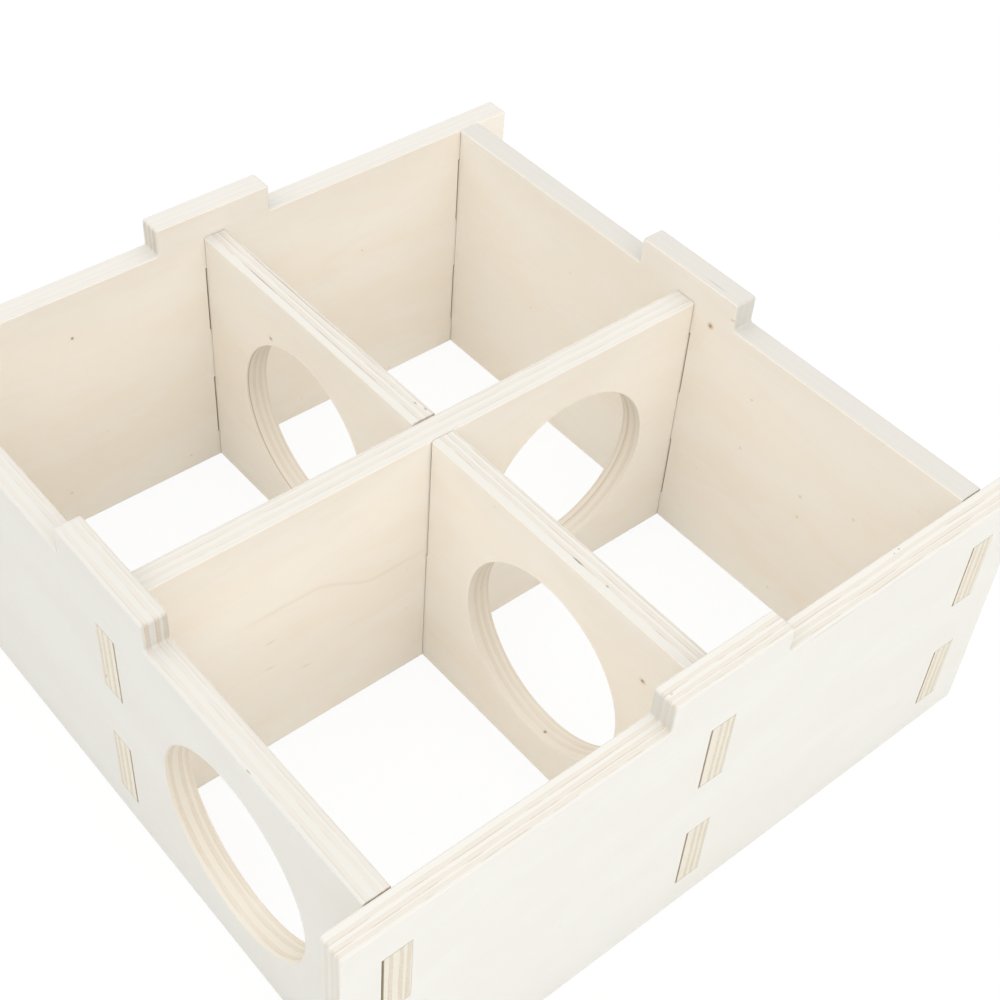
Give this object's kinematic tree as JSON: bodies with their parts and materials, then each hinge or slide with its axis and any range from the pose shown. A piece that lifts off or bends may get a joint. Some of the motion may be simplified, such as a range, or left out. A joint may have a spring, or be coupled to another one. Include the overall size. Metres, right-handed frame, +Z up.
{
  "type": "rodent house",
  "caption": "Low plywood house for small rodents, open above and below, with crossed dividers, round doorways, through-tenon corners and a locating tab on each wall.",
  "frame": {"origin": "on the floor, in the middle of the footprint", "axes": "+X to the right and +Y to the back, seen from in front of the entrance wall; +Z up"},
  "size_m": [0.2736, 0.2766, 0.12],
  "materials": {
    "plywood": "bare sanded light plywood, matt"
  },
  "bodies": {
    "root": {"front_wall": "plywood", "back_wall": "plywood", "left_wall": "plywood", "right_wall": "plywood", "centre_divider": "plywood", "cross_divider": "plywood"}
  },
  "joints": []
}
